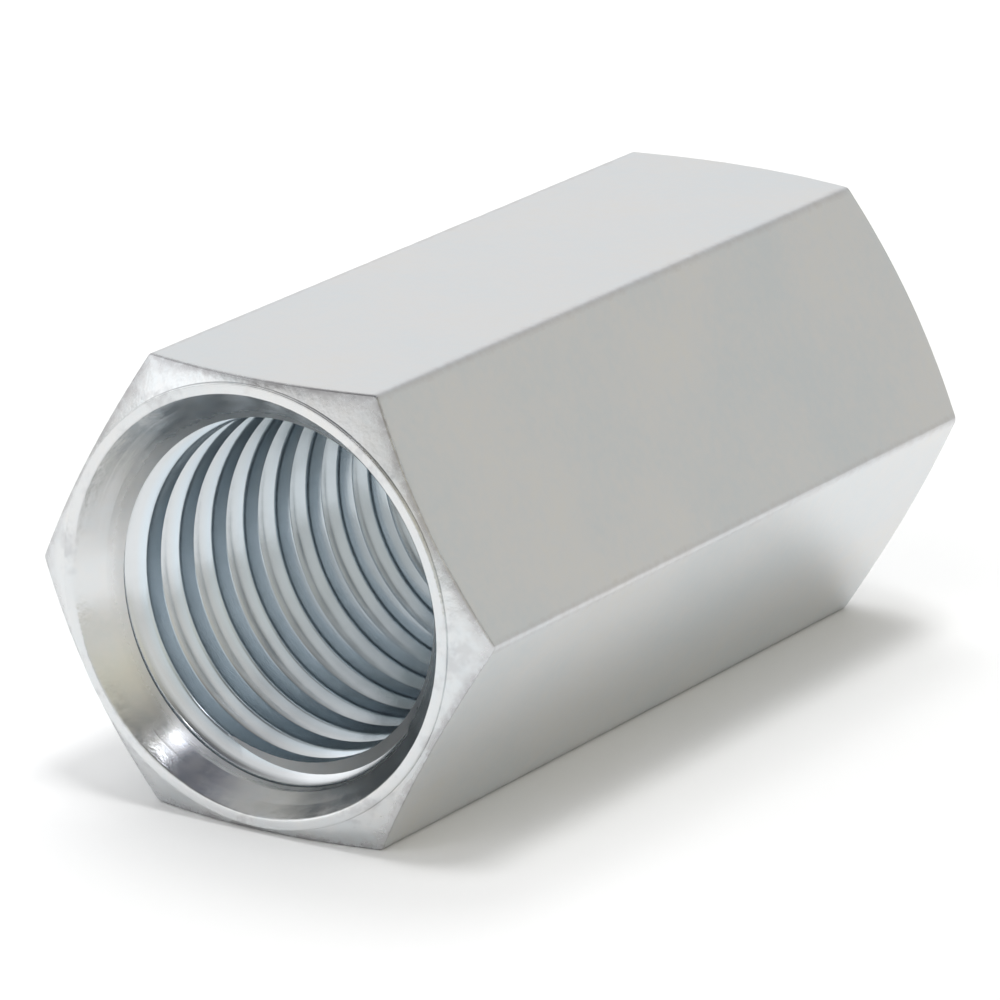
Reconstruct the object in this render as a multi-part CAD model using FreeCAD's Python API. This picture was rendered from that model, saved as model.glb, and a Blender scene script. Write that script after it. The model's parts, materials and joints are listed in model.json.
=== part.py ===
"""Hex coupling nut for joining two threaded rods end to end.

One solid, as it is made: a length cut from drawn hexagon bar, both ends turned to a shallow cone that takes
the corners off and leaves a low rim, the middle drilled, and both mouths countersunk to lead the rod in.
The nut lies on a flat. Y runs along its axis, Z is up, and the origin is under its middle.
"""
import FreeCAD
import Part
import math
import os

# Driving dimensions, in millimetres and degrees.
across_flats = 19.05       # hexagon bar, three quarters of an inch
length = 38.1              # end face to end face, one and a half inches
bar_corner_radius = 0.25   # the drawn bar's long edges are barely rounded
bore_diameter = 14.3       # crest diameter of the 5/8-11 thread, tapped loose
mouth_diameter = 17.7      # countersink where it meets the end face
mouth_angle = 70.0         # countersink, full angle
rim_diameter = 18.6        # flat ring that bears on a washer, outer edge
rim_height = 0.2           # the ring stands this far out from the cone round it
chamfer_angle = 25.0       # turned ends, measured from the end face

# Worked out from the driving dimensions.
axis_height = across_flats / 2
half_length = length / 2
corner_reach = across_flats / math.sqrt(3)
stock_reach = corner_reach + across_flats / 10
cutter_overrun = across_flats / 20


def polar(radius, angle, y):
    """A point at this distance and angle about the nut's axis."""
    turn = math.radians(angle)
    return FreeCAD.Vector(radius * math.cos(turn), y, axis_height + radius * math.sin(turn))


def hexagon_bar():
    """The drawn bar: six flats joined by small arcs, with one flat down and one up."""
    arc_centre = corner_reach - bar_corner_radius / math.cos(math.radians(30))
    along = arc_centre + bar_corner_radius * math.cos(math.radians(30))
    aside = bar_corner_radius * math.sin(math.radians(30))
    reach = math.hypot(along, aside)
    spread = math.degrees(math.atan2(aside, along))
    edges = []
    for corner in range(0, 360, 60):
        start = polar(reach, corner - spread, -half_length)
        crown = polar(arc_centre + bar_corner_radius, corner, -half_length)
        end = polar(reach, corner + spread, -half_length)
        next_start = polar(reach, corner + 60 - spread, -half_length)
        edges.append(Part.Arc(start, crown, end).toShape())
        edges.append(Part.LineSegment(end, next_start).toShape())
    outline = Part.Face(Part.Wire(edges))
    return outline.extrude(FreeCAD.Vector(0, length, 0))


def turned(profile):
    """A solid of revolution about the nut's axis, from (radius, y) points in order."""
    points = [polar(radius, 0, y) for radius, y in profile]
    face = Part.Face(Part.makePolygon(points + points[:1]))
    axis_point = FreeCAD.Vector(0, 0, axis_height)
    return face.revolve(axis_point, FreeCAD.Vector(0, 1, 0), 360)


def turned_ends():
    """The envelope that the lathe leaves: a low rim at each end, then a cone out past the corners."""
    rim = rim_diameter / 2
    rim_foot = half_length - rim_height
    shoulder = rim_foot - (stock_reach - rim) * math.tan(math.radians(chamfer_angle))
    return turned([
        (0, -half_length),
        (rim, -half_length),
        (rim, -rim_foot),
        (stock_reach, -shoulder),
        (stock_reach, shoulder),
        (rim, rim_foot),
        (rim, half_length),
        (0, half_length),
    ])


def drilled_and_countersunk():
    """What the drill and the two countersinks take away, run out past both end faces."""
    bore = bore_diameter / 2
    mouth = mouth_diameter / 2
    flare = math.tan(math.radians(mouth_angle / 2))
    cone_foot = half_length - (mouth - bore) / flare
    outside = half_length + cutter_overrun
    wide = mouth + cutter_overrun * flare
    return turned([
        (0, -outside),
        (wide, -outside),
        (bore, -cone_foot),
        (bore, cone_foot),
        (wide, outside),
        (0, outside),
    ])


coupling_nut = hexagon_bar().common(turned_ends()).cut(drilled_and_countersunk()).removeSplitter()

os.makedirs("parts", exist_ok=True)
coupling_nut.exportStep("parts/coupling_nut.step")
print("volume", round(coupling_nut.Volume, 1), "mm3")
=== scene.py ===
"""Hex coupling nut: the zinc-plated nut with its cut thread, on a pale floor in soft studio light."""

import json
import math

import bpy
from mathutils import Matrix, Vector


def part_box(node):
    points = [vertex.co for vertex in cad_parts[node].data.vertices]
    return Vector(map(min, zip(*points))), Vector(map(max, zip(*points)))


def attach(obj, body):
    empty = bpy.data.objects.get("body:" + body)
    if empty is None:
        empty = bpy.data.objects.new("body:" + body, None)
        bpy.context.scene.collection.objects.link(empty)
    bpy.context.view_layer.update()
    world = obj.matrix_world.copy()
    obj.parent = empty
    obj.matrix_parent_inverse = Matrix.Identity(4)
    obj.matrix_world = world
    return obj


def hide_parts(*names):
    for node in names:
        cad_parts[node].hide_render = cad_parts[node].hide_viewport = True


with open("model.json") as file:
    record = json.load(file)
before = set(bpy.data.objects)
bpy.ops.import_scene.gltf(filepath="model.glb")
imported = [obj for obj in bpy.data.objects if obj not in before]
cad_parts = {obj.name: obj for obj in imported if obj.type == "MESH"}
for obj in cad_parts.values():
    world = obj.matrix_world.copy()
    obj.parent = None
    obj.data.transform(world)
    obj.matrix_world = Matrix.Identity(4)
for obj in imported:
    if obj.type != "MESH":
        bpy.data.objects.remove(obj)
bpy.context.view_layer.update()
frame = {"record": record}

# Coupling nut: a length of drawn hexagon bar in low-carbon steel. Both ends are turned to a shallow cone that
# leaves a low rim, the middle is drilled, countersunk at both mouths and tapped right through, and then the
# whole nut is plated with bright zinc. Its tree of nodes works in millimetres, as a drawing of the nut does.


class Socket:
    """A node's output. Sums on it are written as on a number, and each adds its Math node to the tree."""

    def __init__(self, tree, socket=None):
        self.tree = tree
        self.socket = socket

    def node(self, kind, settings=None, sockets=None, output=0):
        """Adds a node: its settings are set first, then the values or links of its sockets."""
        made = self.tree.nodes.new(kind)
        for name, value in (settings or {}).items():
            if name == "choices":
                for _ in range(value - len(made.index_switch_items)):
                    made.index_switch_items.new()
            elif name == "stops":
                for _ in range(len(value) - len(made.color_ramp.elements)):
                    made.color_ramp.elements.new(0.5)
                for element, (place, shade) in zip(made.color_ramp.elements, value):
                    element.position = place
                    element.color = (*shade, 1)
            else:
                setattr(made, name, value)
        for name, value in (sockets or {}).items():
            if isinstance(value, Socket):
                self.tree.links.new(value.socket, made.inputs[name])
            else:
                made.inputs[name].default_value = value
        return Socket(self.tree, made.outputs[output] if made.outputs else None)

    def out(self, name):
        """Another output of the same node."""
        return Socket(self.tree, self.socket.node.outputs[name])

    def math(self, operation, *values):
        sockets = dict(enumerate((self, *values)))
        return self.node("ShaderNodeMath", {"operation": operation}, sockets)

    def reflected(self, operation, value):
        return self.node("ShaderNodeMath", {"operation": operation}, {0: value, 1: self})

    def __add__(self, other):
        return self.math("ADD", other)

    def __radd__(self, other):
        return self.reflected("ADD", other)

    def __sub__(self, other):
        return self.math("SUBTRACT", other)

    def __rsub__(self, other):
        return self.reflected("SUBTRACT", other)

    def __mul__(self, other):
        return self.math("MULTIPLY", other)

    def __rmul__(self, other):
        return self.reflected("MULTIPLY", other)

    def __truediv__(self, other):
        return self.math("DIVIDE", other)

    def __rtruediv__(self, other):
        return self.reflected("DIVIDE", other)

    def __pow__(self, other):
        return self.math("POWER", other)

    def __lt__(self, other):
        return self.math("LESS_THAN", other)

    def __gt__(self, other):
        return self.math("GREATER_THAN", other)

    def __abs__(self):
        return self.math("ABSOLUTE")

    def sin(self):
        return self.math("SINE")

    def cos(self):
        return self.math("COSINE")

    def root(self):
        return self.math("SQRT")

    def floor(self):
        return self.math("FLOOR")

    def smaller(self, other):
        return self.math("MINIMUM", other)

    def larger(self, other):
        return self.math("MAXIMUM", other)

    def held(self):
        """The value, held between 0 and 1."""
        return self.larger(0).smaller(1)

    def parts(self):
        """The three numbers of a vector."""
        split = self.node("ShaderNodeSeparateXYZ", sockets={"Vector": self})
        return split.out("X"), split.out("Y"), split.out("Z")

    def vector(self, x, y, z):
        return self.node("ShaderNodeCombineXYZ", sockets={"X": x, "Y": y, "Z": z})

    def noise(self, place, scale, detail=2.0, roughness=0.5):
        """Smooth noise from about 0.25 to 0.75 at these places."""
        values = {"Vector": place, "Scale": scale, "Detail": detail, "Roughness": roughness}
        return self.node("ShaderNodeTexNoise", sockets=values)

    def blend(self, share, under, over):
        """A colour on its way from one to another, by a share from 0 to 1."""
        under_socket = 6
        over_socket = 7
        colour_output = 2
        sockets = {"Factor": share, under_socket: under, over_socket: over}
        return self.node("ShaderNodeMix", {"data_type": "RGBA"}, sockets, colour_output)


MM = 1000
INCH = 25.4
THREADS_PER_INCH = 11
THREAD_DIAMETER = INCH * 5 / 8
low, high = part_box("coupling_nut")
thread_mount = next(m for m in frame["record"]["mounts"] if m["name"] == "thread")
nut_sizes = {
    "Across flats": (high.z - low.z) * MM,
    "Length": (high.y - low.y) * MM,
    "Bar corner radius": 0.25,
    "Rim radius": 9.3,
    "Rim height": 0.2,
    "Chamfer slope": math.tan(math.radians(25)),
    "Crest radius": thread_mount["dims"]["r_mm"],
    "Tapped length": thread_mount["dims"]["length_mm"],
    "Mouth slope": math.tan(math.radians(35)),
    "Thread pitch": INCH / THREADS_PER_INCH,
    "Thread root radius": THREAD_DIAMETER / 2,
    "Thread groove width": 1.24,
    "Thread start": 1.02,
    "Broken edge": 0.09,
    "Broken thread edge": 0.14,
}
EDGE_STEPS = 4
MERGE_DISTANCE = 0.0005
# Kinds of surface, kept at each point for the plating.
TURNED = 1.0
EDGE = 0.5
DRAWN = 0.0


def broken(before, corner, after, size, steps=EDGE_STEPS):
    """Points (radius, y) that take a profile round a corner, from one side's direction to the other's."""
    ends = []
    for other in (before, after):
        run = [b - a for a, b in zip(corner, other)]
        reach = (run[0] * run[0] + run[1] * run[1]) ** 0.5
        ends.append([a + r * (size / reach) for a, r in zip(corner, run)])
    points = []
    for step in range(steps):
        t = step / (steps - 1)
        shares = ((1 - t) ** 2, 2 * t * (1 - t), t**2)
        trio = zip(ends[0], corner, ends[1])
        points.append([a * shares[0] + b * shares[1] + c * shares[2] for a, b, c in trio])
    return points


def sheet_grid(tool, columns, rows):
    """A grid of points, with each point's column and row number."""
    grid = tool.node(
        "GeometryNodeMeshGrid",
        sockets={"Size X": columns - 1.0, "Size Y": rows - 1.0, "Vertices X": columns, "Vertices Y": rows},
    )
    x, y, _ = tool.node("GeometryNodeInputPosition").parts()
    column = (x + (columns - 1) / 2).math("ROUND")
    row = (y + (rows - 1) / 2).math("ROUND")
    return grid, column, row


def chosen(tool, index, points):
    """The one of these (radius, y, kind) points that the row number picks."""
    sockets = {"Index": index}
    for number, point in enumerate(points):
        sockets[str(number)] = tool.vector(*point)
    settings = {"data_type": "VECTOR", "choices": len(points)}
    return tool.node("GeometryNodeIndexSwitch", settings, sockets).parts()


def marked(tool, mesh, name, value, domain="POINT"):
    """The mesh with a number kept at each point or face, for the plating to read."""
    settings = {"data_type": "FLOAT", "domain": domain}
    sockets = {"Geometry": mesh, "Name": name, "Value": value}
    return tool.node("GeometryNodeStoreNamedAttribute", settings, sockets)


def wrapped(tool, grid, angle, radius, y, axis_height):
    """The grid laid round the nut's axis, faces outward, with its seam and its poles closed."""
    place = tool.vector(radius * angle.cos(), y, axis_height + radius * angle.sin())
    laid = tool.node("GeometryNodeSetPosition", sockets={"Geometry": grid, "Position": place})
    closed = tool.node("GeometryNodeMergeByDistance", sockets={"Geometry": laid, "Distance": MERGE_DISTANCE})
    return tool.node("GeometryNodeFlipFaces", sockets={"Mesh": closed})


FLAT_TURN = math.radians(60)
HALF_FLAT_TURN = FLAT_TURN / 2
COLUMNS_PER_FLAT = 32
ROWS_ALONG_FLATS = 120
COLUMN_CROWDING = 0.9
PLAIN_POINTS_PER_END = 4
BROKEN_EDGES_PER_END = 3
POCKET_SHARE = 0.8
THROAT_CLEARANCE = 0.08
WEAR_APART = 9.7
WEAR_STEP = 0.28
WEAR_SCALE = 1.1
WEAR_SWING = 1.6
LEAST_WEAR = 0.2
EDGE_REACH = 0.6
EDGE_CONTRAST = 4


def turned_blank(tool, size):
    """The bar with both ends turned and both mouths countersunk, down to blind pockets that the tap opens."""
    half = size["Length"] / 2
    axis_height = size["Across flats"] / 2
    mouth_slope = size["Mouth slope"]
    mouth_depth = half - size["Tapped length"] / 2
    mouth = size["Crest radius"] + mouth_depth * mouth_slope
    pocket = size["Crest radius"] * POCKET_SHARE
    throat = size["Thread root radius"] + THROAT_CLEARANCE

    end_rows = PLAIN_POINTS_PER_END + BROKEN_EDGES_PER_END * EDGE_STEPS
    rows = 2 * end_rows + ROWS_ALONG_FLATS
    columns = 6 * COLUMNS_PER_FLAT
    grid, column, row = sheet_grid(tool, columns + 1, rows)
    end_row = row.smaller(rows - 1 - row)
    side = (row - (rows - 1) / 2).math("SIGN")

    # Columns crowd together at the six corners, where the bar is rounded.
    along = column / COLUMNS_PER_FLAT
    flat_number = along.floor()
    share = along - flat_number
    crowded = share - (share * math.tau).sin() * (COLUMN_CROWDING / math.tau)
    angle = (flat_number + crowded) * FLAT_TURN
    from_corner = crowded.smaller(1 - crowded) * FLAT_TURN

    # The long edges are worn unevenly, so their rounding swells in places along the bar.
    corner_number = (along + 0.5).floor().math("MODULO", 6)
    wear_place = tool.vector(corner_number * WEAR_APART, row * WEAR_STEP, 0.0)
    wear = tool.noise(wear_place, WEAR_SCALE, detail=3.0)
    corner_radius = size["Bar corner radius"] * (wear * WEAR_SWING + LEAST_WEAR).larger(1)
    arc_centre = (axis_height - corner_radius) / math.cos(HALF_FLAT_TURN)
    arc_side = corner_radius * math.sin(HALF_FLAT_TURN)
    arc_end = arc_side.math("ARCTAN2", arc_centre + corner_radius * math.cos(HALF_FLAT_TURN))
    on_arc = from_corner < arc_end
    sideways = arc_centre * from_corner.sin()
    bulge = (corner_radius * corner_radius - sideways * sideways).larger(0).root()
    arc = arc_centre * from_corner.cos() + bulge
    flat = axis_height / (HALF_FLAT_TURN - from_corner).cos()
    hexagon = on_arc * arc + (1 - on_arc) * flat

    # The profile of one end, each point with its kind of surface: turned, edge or drawn.
    rim_foot = half - size["Rim height"]
    shoulder = rim_foot - (hexagon - size["Rim radius"]) * size["Chamfer slope"]
    pocket_floor = half - (mouth - pocket) / mouth_slope
    corners = [
        (pocket, pocket_floor),
        (mouth, half),
        (size["Rim radius"], half),
        (size["Rim radius"], rim_foot),
        (hexagon, shoulder),
        (hexagon, 0.0),
    ]
    points = [(0.0, pocket_floor, TURNED), (*corners[0], TURNED)]
    points.append((throat, half - (mouth - throat) / mouth_slope, TURNED))
    for number, kind in ((1, TURNED), (2, TURNED), (4, EDGE)):
        for radius, y in broken(*corners[number - 1:number + 2], size["Broken edge"]):
            points.append((radius, y, kind))
        if number == 2:
            points.append((*corners[3], TURNED))
    flat_start = points[-1][1]
    points[-1] = (hexagon, flat_start, DRAWN)
    flat_row = (row - (end_rows - 1)) / (ROWS_ALONG_FLATS + 1)
    points.append((hexagon, flat_start * abs(1 - flat_row * 2), DRAWN))
    radius, y, kind = chosen(tool, end_row.smaller(end_rows), points)

    long_edge = (1 - from_corner * axis_height / (math.cos(HALF_FLAT_TURN) * EDGE_REACH)).larger(0)
    end_edge = (1 - abs(kind - EDGE) * EDGE_CONTRAST).larger(0)
    grid = marked(tool, grid, "turned", kind)
    grid = marked(tool, grid, "edge", end_edge.larger(long_edge * (kind < EDGE)))
    return wrapped(tool, grid, angle, radius, y * side, axis_height)


FLANK_ANGLE = math.radians(30)
STEPS_PER_TURN = 96
TAP_TURNS = 22
ROOT_STEPS = 9
RUN_OUT = 1.5
ONE_FACE = 1.0
COUNT_SLACK = 0.1


def tap(tool, size):
    """What the tap takes out: the bore at the crests, and a helical groove with a rounded root between
    flanks at 60 degrees."""
    half = size["Length"] / 2
    axis_height = size["Across flats"] / 2
    pitch = size["Thread pitch"]
    crest = size["Crest radius"]
    root = size["Thread root radius"]
    groove_half = size["Thread groove width"] / 2
    apex = crest + groove_half / math.tan(FLANK_ANGLE)
    rounding = (apex - root) * (2 / math.cos(FLANK_ANGLE))
    edge = size["Broken thread edge"]
    corners = [
        (crest, pitch * -0.5),
        (crest, groove_half * -1),
        (apex, 0.0),
        (crest, groove_half),
        (crest, pitch * 0.5),
    ]
    points = [(*corners[0], TURNED)]
    for number, reach, steps in ((1, edge, EDGE_STEPS), (2, rounding, ROOT_STEPS), (3, edge, EDGE_STEPS)):
        for radius, y in broken(*corners[number - 1:number + 2], reach, steps):
            points.append((radius, y, TURNED))
    points.append((*corners[-1], TURNED))

    grid, column, row = sheet_grid(tool, TAP_TURNS * STEPS_PER_TURN + 1, len(points))
    radius, offset, _ = chosen(tool, row, points)
    turn = column / STEPS_PER_TURN - TAP_TURNS / 2
    start = (size["Thread start"] - half).math("MODULO", pitch)
    y = start - turn * pitch + offset
    # Past both ends of the nut the groove fades out, so that the tap closes in a plain helix.
    cutting = (half + RUN_OUT - abs(y)).held()
    radius = crest + (radius - crest) * cutting
    grid = marked(tool, grid, "tapped", 1.0, "FACE")
    helix = wrapped(tool, grid, turn * math.tau, radius, y, axis_height)

    open_edge = tool.node("GeometryNodeInputMeshEdgeNeighbors").math("COMPARE", ONE_FACE, COUNT_SLACK)
    drawn = tool.node(
        "GeometryNodeExtrudeMesh",
        {"mode": "EDGES"},
        {"Mesh": helix, "Selection": open_edge, "Offset Scale": 0.0},
    )
    _, place_y, _ = tool.node("GeometryNodeInputPosition").parts()
    tip = tool.vector(0.0, place_y.math("SIGN") * (half * 2), axis_height)
    pointed = tool.node(
        "GeometryNodeSetPosition", sockets={"Geometry": drawn, "Selection": drawn.out("Top"), "Position": tip}
    )
    return tool.node("GeometryNodeMergeByDistance", sockets={"Geometry": pointed, "Distance": MERGE_DISTANCE})


# Colours of the plate: its clouds, the film in the bore with painted reflection on the crests and painted
# shade deeper in, and the dull marks.
CLOUDS = [(0.35, (0.69, 0.722, 0.742)), (0.55, (0.737, 0.742, 0.744)), (0.72, (0.758, 0.75, 0.728))]
FLANK_FILM = (0.7, 0.725, 0.745, 1)
# Painted reflection: the crests are bluer, standing in for the bluish bore that they mirror.
CREST_FILM_AND_REFLECTION = (0.69, 0.77, 0.83, 1)
# Painted shade: the bore's colour darkens towards its middle, where less light reaches.
DEEP_PAINTED_SHADE = (0.54, 0.6, 0.64, 1)
SMEAR_GREY = (0.4, 0.4, 0.42, 1)
RUBBED_GREY = (0.33, 0.32, 0.33, 1)
WORN_GREY = (0.42, 0.41, 0.43, 1)
# How much of each colour shows, and from which level of its pattern on.
CLOUD_SHARE = 0.6
DEEP_SHADE_SHARE = 0.85
SMEAR_SHARE = 0.4
SMEAR_LEVEL = 0.55
SMEAR_CONTRAST = 9
RUBBED_SHARE = 0.75
RUBBED_LEVEL = 0.93
RUBBED_CONTRAST = 7
WORN_SHARE = 0.6
WORN_LEVEL = 1.05
WORN_EDGE = 1.2
WORN_GRAIN = 0.9
# Where the marks lie, in millimetres.
CREST_REACH = 0.4
DEEP_SHADE_START = 4
DEEP_SHADE_RUN = 10
SMEAR_START = 8.4
SMEAR_RUN = 0.5
RUBBED_REACH = 0.3
MARK_RUN = 0.25
# How the drawing lines are drawn out, and how far the turning marks stray from true circles.
DRAWING_STRETCH = 0.03
TURNING_STRAY = 0.02
# Roughness, and the depth of the marks in millimetres.
FLAT_ROUGHNESS = 0.35
CUT_POLISH = 0.13
CLOUD_ROUGHNESS = 0.08
GRAIN_ROUGHNESS = 0.12
DRAWING_DEPTH = 0.006
GRAIN_DEPTH = 0.005
TURNING_DEPTH = 0.008
RIPPLE_DEPTH = 0.05
SMEAR_DEPTH = 0.06


def bright_zinc():
    """Bright zinc plate: drawing lines along the flats, turning marks and smears round the ends, a bluer film
    in the bore, with a painted bluish reflection on the crests and painted shade that darkens it further in,
    and dull grey along the rubbed and worn edges."""
    material = bpy.data.materials.new("bright_zinc")
    material.use_nodes = True
    material.node_tree.nodes.clear()
    tool = Socket(material.node_tree)
    turned = tool.node("ShaderNodeAttribute", {"attribute_name": "turned"}).out("Fac")
    bore = tool.node("ShaderNodeAttribute", {"attribute_name": "tapped"}).out("Fac")
    edge = tool.node("ShaderNodeAttribute", {"attribute_name": "edge"}).out("Fac")
    place = tool.node("ShaderNodeTexCoord").out("Object")
    place = tool.node("ShaderNodeVectorMath", {"operation": "SCALE"}, {0: place, "Scale": float(MM)})
    x, y, z = place.parts()
    z = z - nut_sizes["Across flats"] / 2
    radius = (x * x + z * z).root()

    drawing_place = tool.vector(x, y * DRAWING_STRETCH, z)
    turning_place = tool.vector(radius, abs(y) + x * TURNING_STRAY, z * TURNING_STRAY)
    drawing = tool.noise(drawing_place, scale=3.0, detail=3.0, roughness=0.6)
    turning = tool.noise(turning_place, scale=2.0, detail=1.0, roughness=0.5)
    grain = tool.noise(place, scale=2.2, detail=4.0, roughness=0.6)
    cloud = tool.noise(place, scale=0.16, detail=3.0, roughness=0.55)
    ripple = tool.noise(place, scale=0.45, detail=1.0, roughness=0.4)
    smear = tool.noise(place, scale=0.62, detail=4.0, roughness=0.65)

    # The clouded plate, and the bluish film in the bore. It is bluest on the crests, where the colour paints
    # the bluish reflection of the bore, and darker further in, where it paints the shade deep in the bore.
    clouded = cloud * CLOUD_SHARE + grain * (1 - CLOUD_SHARE)
    colour = tool.node("ShaderNodeValToRGB", {"stops": CLOUDS}, {"Fac": clouded})
    # Painted reflection on the crests: a bluer tint over the film.
    on_crest = ((nut_sizes["Crest radius"] + CREST_REACH - radius) / MARK_RUN).held()
    bore_tint_and_painted_light = tool.blend(on_crest, FLANK_FILM, CREST_FILM_AND_REFLECTION)
    # Painted shade deep in the bore: darker with depth from each mouth.
    deep_shade = ((nut_sizes["Length"] / 2 - DEEP_SHADE_START - abs(y)) / DEEP_SHADE_RUN).held()
    bore_tint_and_painted_light = tool.blend(deep_shade * DEEP_SHADE_SHARE, bore_tint_and_painted_light, DEEP_PAINTED_SHADE)
    colour = tool.blend(bore, colour, bore_tint_and_painted_light)

    # Smears on the turned ends, and dull spots where the hexagon's edges are rubbed and worn.
    on_end = turned * ((radius - SMEAR_START) / SMEAR_RUN).held()
    smeared = on_end * ((smear - SMEAR_LEVEL) * SMEAR_CONTRAST).held()
    colour = tool.blend(smeared * SMEAR_SHARE, colour, SMEAR_GREY)
    from_middle = abs(z).larger(abs(x) * math.cos(HALF_FLAT_TURN) + abs(z) * math.sin(HALF_FLAT_TURN))
    near_edge = ((from_middle - nut_sizes["Across flats"] / 2 + RUBBED_REACH) / MARK_RUN).held() * on_end
    rubbed = near_edge * ((grain + smear - RUBBED_LEVEL) * RUBBED_CONTRAST).held()
    colour = tool.blend(rubbed * RUBBED_SHARE, colour, RUBBED_GREY)
    worn = (edge * WORN_EDGE + grain * WORN_GRAIN - WORN_LEVEL).held()
    colour = tool.blend(worn * WORN_SHARE, colour, WORN_GREY)

    cut = turned.larger(bore)
    uneven = (cloud - 0.5) * CLOUD_ROUGHNESS + (grain - 0.5) * GRAIN_ROUGHNESS
    roughness = FLAT_ROUGHNESS - cut * CUT_POLISH + uneven
    on_flats = drawing * DRAWING_DEPTH + grain * GRAIN_DEPTH
    on_cuts = turning * TURNING_DEPTH + ripple * RIPPLE_DEPTH
    height = (1 - cut) * on_flats + cut * on_cuts + on_end * smear * SMEAR_DEPTH
    relief = tool.node("ShaderNodeBump", sockets={"Strength": 1.0, "Distance": 1 / MM, "Height": height})
    plate = tool.node(
        "ShaderNodeBsdfPrincipled",
        sockets={"Base Color": colour, "Metallic": 1.0, "Roughness": roughness, "Normal": relief},
    )
    tool.node("ShaderNodeOutputMaterial", sockets={"Surface": plate})
    return material


SHARP_ANGLE = math.radians(35)


def tapped_nut(sizes, material):
    """The tree of nodes that makes the nut, with an input for each of its sizes."""
    tree = bpy.data.node_groups.new("coupling_nut", "GeometryNodeTree")
    tool = Socket(tree)
    entry = tree.nodes.new("NodeGroupInput")
    for name in sizes:
        tree.interface.new_socket(name, in_out="INPUT", socket_type="NodeSocketFloat")
    tree.interface.new_socket("Nut", in_out="OUTPUT", socket_type="NodeSocketGeometry")
    size = {name: Socket(tree, entry.outputs[name]) for name in sizes}

    nut = tool.node(
        "GeometryNodeMeshBoolean",
        {"operation": "DIFFERENCE", "solver": "MANIFOLD"},
        {"Mesh 1": turned_blank(tool, size), "Mesh 2": tap(tool, size)},
    )
    nut = tool.node("GeometryNodeTransform", sockets={"Geometry": nut, "Scale": (1 / MM, 1 / MM, 1 / MM)})
    nut = tool.node("GeometryNodeSetShadeSmooth", {"domain": "FACE"}, {"Geometry": nut, "Shade Smooth": True})
    tapped = tool.node("GeometryNodeInputNamedAttribute", {"data_type": "FLOAT"}, {"Name": "tapped"})
    cut_line = tool.node("GeometryNodeMeshFaceSetBoundaries", sockets={0: tapped})
    sharp = (tool.node("GeometryNodeInputMeshEdgeAngle") > SHARP_ANGLE).larger(cut_line)
    nut = tool.node(
        "GeometryNodeSetShadeSmooth",
        {"domain": "EDGE"},
        {"Geometry": nut, "Selection": sharp, "Shade Smooth": False},
    )
    nut = tool.node("GeometryNodeRealizeInstances", sockets={"Geometry": nut})
    nut = tool.node("GeometryNodeSetMaterial", sockets={"Geometry": nut, "Material": material})
    tool.node("NodeGroupOutput", sockets={"Nut": nut})
    return tree


zinc = bright_zinc()
nut = bpy.data.objects.new("zinc_coupling_nut", bpy.data.meshes.new("zinc_coupling_nut"))
bpy.context.scene.collection.objects.link(nut)
shaping = nut.modifiers.new("shaping", "NODES")
shaping.node_group = tapped_nut(nut_sizes, zinc)
for item in shaping.node_group.interface.items_tree:
    if item.in_out == "INPUT":
        shaping[item.identifier] = nut_sizes[item.name]
normals = nut.modifiers.new("normals", "WEIGHTED_NORMAL")
normals.keep_sharp = True
evaluated = nut.evaluated_get(bpy.context.evaluated_depsgraph_get())
nut.data = bpy.data.meshes.new_from_object(evaluated)
nut.data.name = nut.name
nut.modifiers.clear()
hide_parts("coupling_nut")
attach(nut, "root")

# Floor: a broad sheet of matt white paper that the nut lies on. It is a hair below the nut, so that the
# lower flat and the paper do not lie in one plane.
FLOOR_WIDTH = 6.0
FLOOR_CLEARANCE = 0.00002
PAPER_WHITE = (0.915, 0.92, 0.925, 1)
PAPER_ROUGHNESS = 0.9
paper = bpy.data.materials.new("white_paper")
paper.use_nodes = True
paper_finish = paper.node_tree.nodes["Principled BSDF"]
paper_finish.inputs["Base Color"].default_value = PAPER_WHITE
paper_finish.inputs["Roughness"].default_value = PAPER_ROUGHNESS
reach = FLOOR_WIDTH / 2
floor_outline = [(-reach, -reach), (reach, -reach), (reach, reach), (-reach, reach)]
floor_mesh = bpy.data.meshes.new("floor")
floor_mesh.from_pydata([(x, y, -FLOOR_CLEARANCE) for x, y in floor_outline], [], [(0, 1, 2, 3)])
floor_mesh.materials.append(paper)
floor = bpy.data.objects.new("floor", floor_mesh)
bpy.context.scene.collection.objects.link(floor)

# Studio light: a tent of pale cloth, cream on the right, brighter behind on the left and dim above the front,
# with a screen in front and a small bright spot that the countersink mirrors. Three soft lamps light the
# floor and stay out of the metal's reflections. Past the floor the camera sees white.
world = bpy.data.worlds.new("white_tent")
world.use_nodes = True
world.node_tree.nodes.clear()
tent = Socket(world.node_tree)
outward = tent.node("ShaderNodeTexCoord").out("Generated")
toward_right, toward_back, upward = outward.parts()


def toward(aim):
    """How far each direction faces this one, from -1 to 1."""
    aim = tuple(Vector(aim).normalized())
    product = {"operation": "DOT_PRODUCT"}
    return tent.node("ShaderNodeVectorMath", product, {0: outward, 1: aim}, "Value")


def card(aim, rim, sharpness):
    """1 on a round card of cloth that lies this way, and 0 past its rim, which is given as a cosine."""
    return ((toward(aim) - rim) * sharpness).held()


# The cloth itself: pale all round, a little brighter at the sides and dim overhead.
HORIZON_GLOW = 0.62
SIDE_GLOW = 0.16
OVERHEAD_DIMMING = 0.68
LEAST_GLOW = 0.17
glow = HORIZON_GLOW + toward_right * toward_right * SIDE_GLOW - upward * upward * OVERHEAD_DIMMING
glow = glow.larger(LEAST_GLOW)

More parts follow.
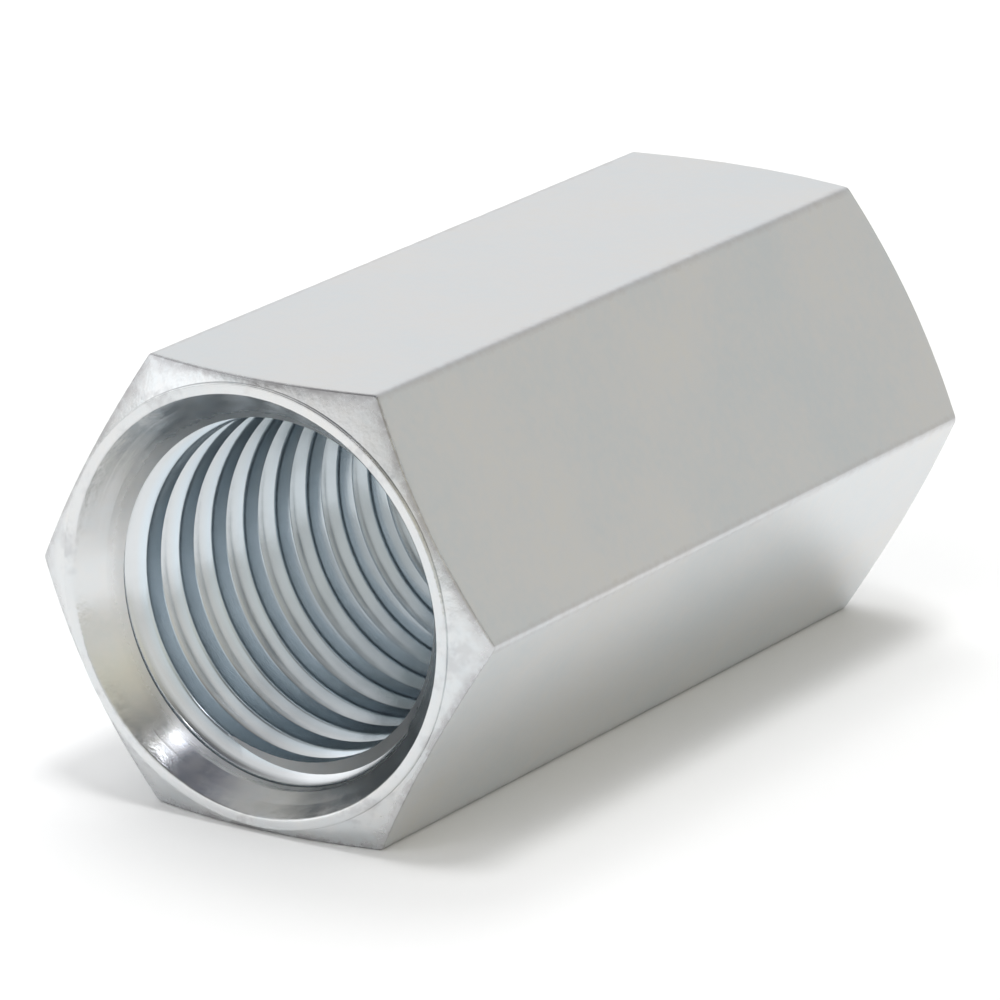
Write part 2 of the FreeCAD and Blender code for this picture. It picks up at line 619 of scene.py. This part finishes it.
# Brighter behind on the left, which the top flat mirrors, and dimmer above the right.
BACK_LEFT = (-0.55, 0.80, 0.24)
BACK_LEFT_SPREAD = 0.2
BACK_LEFT_FOCUS = 4
BACK_LEFT_GLOW = 0.31
RIGHT_DIMMING = 0.3
back_left = ((toward(BACK_LEFT) + BACK_LEFT_SPREAD) / (1 + BACK_LEFT_SPREAD)).held()
glow = glow + back_left ** BACK_LEFT_FOCUS * BACK_LEFT_GLOW
glow = glow - toward_right.held() * upward.held() * RIGHT_DIMMING

# A screen in front on the left, for the thread, and a roof above the back, for the top flat seen from above.
SCREEN_FOOT = 0.05
SCREEN_TOP = 0.75
SCREEN_SHARPNESS = 6
SCREEN_GLOW = 0.4
ROOF_START = 0.05
ROOF_SHARPNESS = 4
ROOF_GLOW = 0.7
above_foot = ((upward - SCREEN_FOOT) * SCREEN_SHARPNESS).held()
below_top = ((SCREEN_TOP - upward) * SCREEN_SHARPNESS).held()
in_front = (toward_back * -1).held()
glow = glow + above_foot * below_top * in_front * (1 - toward_right) * SCREEN_GLOW
roof = ((toward_back - ROOF_START) * ROOF_SHARPNESS).held() * upward * upward.held()
glow = glow + roof * ROOF_GLOW

# Round cards that the countersink and the chamfers mirror, the last one the small bright spot.
CARDS = [
    {"aim": (0.75, -0.29, 0.6), "rim": 0.85, "sharpness": 7, "strength": 0.26},
    {"aim": (-0.55, -0.02, 0.835), "rim": 0.88, "sharpness": 10, "strength": 0.28},
    {"aim": (-0.82, -0.46, 0.34), "rim": 0.955, "sharpness": 28, "strength": 0.4},
    {"aim": (0.3, -0.24, 0.92), "rim": 0.996, "sharpness": 500, "strength": 6},
]
for patch in CARDS:
    glow = glow + card(patch["aim"], patch["rim"], patch["sharpness"]) * patch["strength"]

# Cream on the right, most of all higher up, and a bluish dusk overhead. The camera itself sees white cloth.
WHITE = (1, 1, 1, 1)
CREAM = (1, 0.955, 0.8, 1)
DUSK = (0.83, 0.85, 1, 1)
WARMTH_LEVEL = 0.2
WARMTH_IN_FRONT = 0.1
LOW_CREAM = 0.45
CREAM_START = 0.25
CREAM_SHARPNESS = 5
seen = tent.node("ShaderNodeLightPath").out("Is Camera Ray")
warmth = (WARMTH_LEVEL + toward_right - toward_back * WARMTH_IN_FRONT).held()
higher_up = ((upward - CREAM_START) * CREAM_SHARPNESS).held()
cream = warmth * warmth * (LOW_CREAM + higher_up * (1 - LOW_CREAM))
dusk = card((0.03, -0.18, 0.98), rim=0.94, sharpness=25)
shade = tent.blend(cream * (1 - seen), WHITE, CREAM)
shade = tent.blend(dusk * (1 - seen), shade, DUSK)
cloth = tent.node("ShaderNodeBackground", sockets={"Color": shade, "Strength": seen + (1 - seen) * glow})
tent.node("ShaderNodeOutputWorld", sockets={"Surface": cloth})
bpy.context.scene.world = world


def soft_lamp(name, place, width, watts):
    """A square lamp with a diffuser, turned to the nut. The metal does not mirror it."""
    lamp = bpy.data.lights.new(name, "AREA")
    lamp.size = width
    lamp.energy = watts
    body = bpy.data.objects.new(name, lamp)
    body.location = place
    body.rotation_mode = "QUATERNION"
    body.rotation_quaternion = (-Vector(place)).to_track_quat("-Z", "Y")
    body.visible_glossy = False
    bpy.context.scene.collection.objects.link(body)


soft_lamp("back_lamp", place=(-0.3, 0.3, 0.9), width=0.4, watts=1.8)
soft_lamp("top_lamp", place=(0.1, -0.05, 0.98), width=0.26, watts=3.6)
soft_lamp("front_lamp", place=(0.08, -0.6, 0.8), width=0.4, watts=0.9)

# Camera: a long lens, a little above the nut and to the right of its near end. Its angles, distance and aim
# are those that bring the hexagon's ten corners that show to their places in the photograph.
AZIMUTH = math.radians(33.33)
ELEVATION = math.radians(17.75)
ROLL = math.radians(-0.346)
DISTANCE = 0.33345
AIM_RIGHT = -0.00051
AIM_UP = -0.00059
level = Vector((math.cos(AZIMUTH), math.sin(AZIMUTH), 0))
toward_camera = Vector((math.sin(AZIMUTH), -math.cos(AZIMUTH), 0))
back = toward_camera * math.cos(ELEVATION) + Vector((0, 0, math.sin(ELEVATION)))
upright = back.cross(level)
right = level * math.cos(ROLL) + upright * math.sin(ROLL)
up = upright * math.cos(ROLL) - level * math.sin(ROLL)
lens = bpy.data.cameras.new("camera")
lens.sensor_width = 36
lens.lens = 286.9
lens.clip_start = 0.01
lens.clip_end = 20
camera = bpy.data.objects.new("camera", lens)
nut_middle = (low + high) / 2
camera_place = nut_middle + back * DISTANCE + right * AIM_RIGHT + up * AIM_UP
camera_turn = Matrix((right, up, back)).transposed().to_4x4()
camera.matrix_world = Matrix.Translation(camera_place) @ camera_turn
bpy.context.scene.collection.objects.link(camera)
bpy.context.scene.camera = camera
bpy.context.scene.view_settings.view_transform = "Standard"
